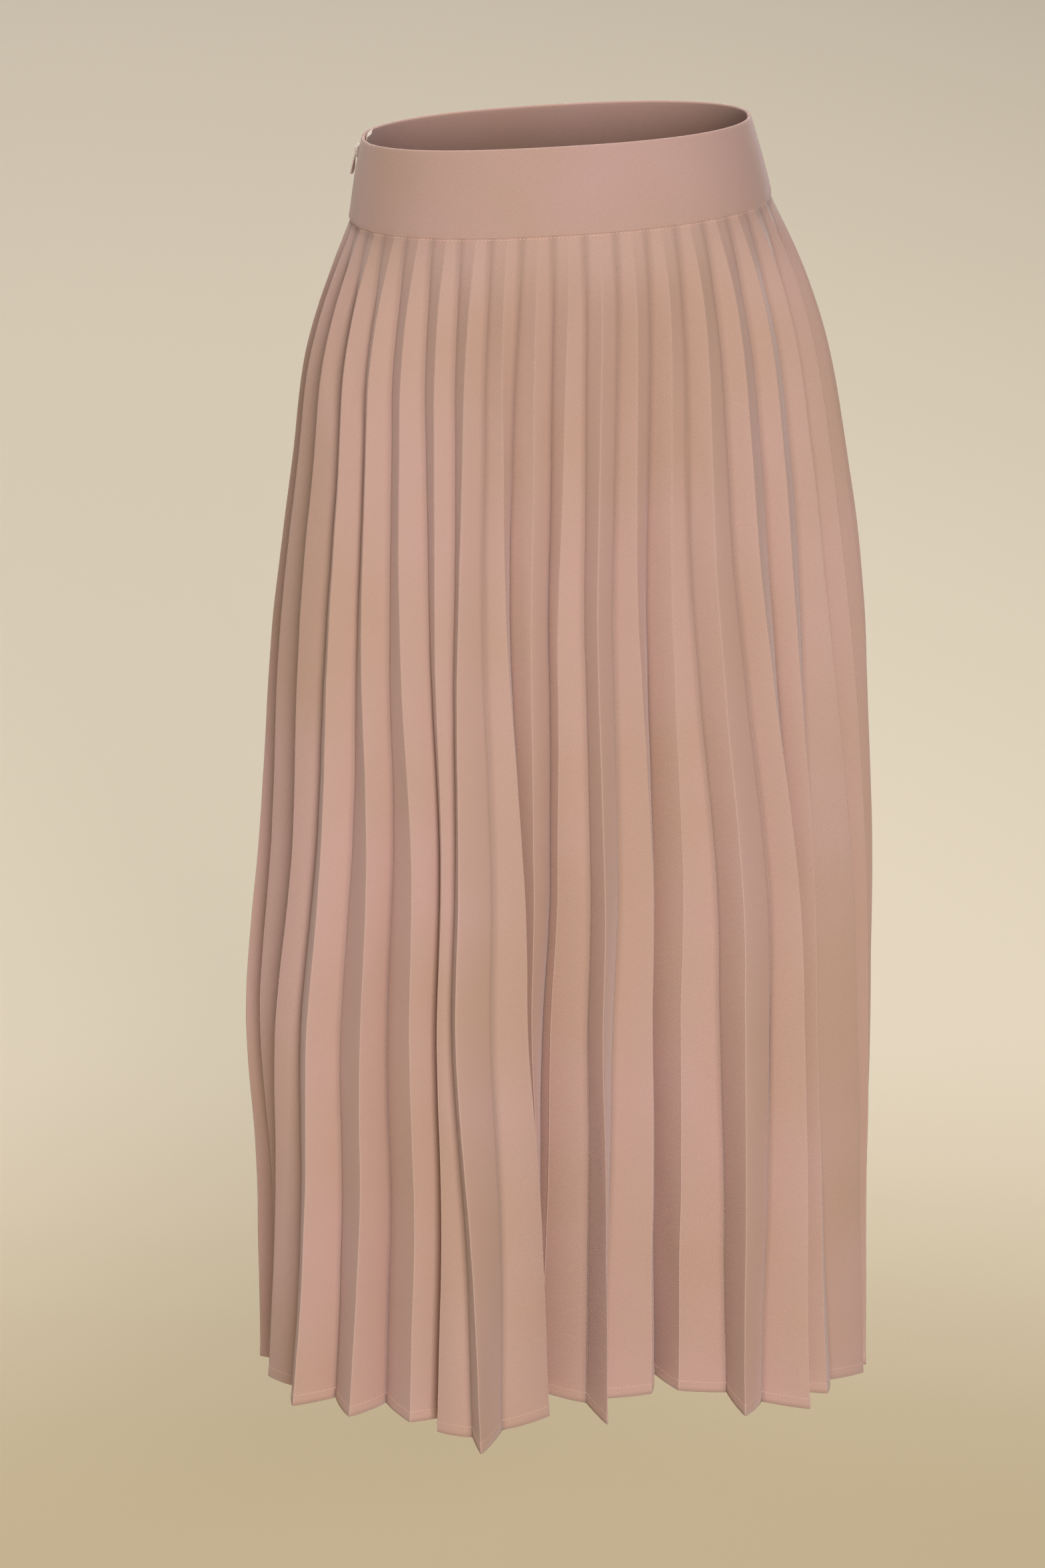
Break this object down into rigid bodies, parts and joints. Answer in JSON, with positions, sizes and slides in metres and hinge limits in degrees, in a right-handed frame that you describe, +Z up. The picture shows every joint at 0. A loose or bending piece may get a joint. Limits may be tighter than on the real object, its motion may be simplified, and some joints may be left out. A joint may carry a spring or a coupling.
{
  "type": "pleated midi skirt",
  "caption": "Worn midi skirt of pressed sunray pleats on a plain fitted waistband, with a concealed side zip and a hinged pull tab.",
  "frame": {"origin": "centre of the waist opening, half way down the waistband, where the wearer holds the skirt", "axes": "+Z up; the wearer faces -Y; +X is the wearer's left, so the zip is on the -X side"},
  "size_m": [0.3901, 0.3066, 0.8653],
  "materials": {
    "pleated_cloth": "matt woven polyester crepe with pressed pleats",
    "waistband_cloth": "matt woven polyester crepe, interfaced and doubled",
    "zip_tape": "fine knitted zip tape",
    "zip_metal": "dyed-to-match enamel on a die-cast slider and pull"
  },
  "bodies": {
    "skirt": {"skirt_front": "pleated_cloth", "skirt_back": "pleated_cloth", "waistband_front": "waistband_cloth", "waistband_back": "waistband_cloth", "zip_tape_front": "zip_tape", "zip_tape_back": "zip_tape", "zip_slider": "zip_metal"},
    "pull_tab": {"zip_pull": "zip_metal"}
  },
  "joints": [
    {"name": "pull_tab_swing", "type": "hinge", "parent": "skirt", "child": "pull_tab", "pos_m": [-0.12215, 0.00425, 0.00946], "axis": [0.021, 0.9998, 0], "range_deg": [0, 150]}
  ]
}
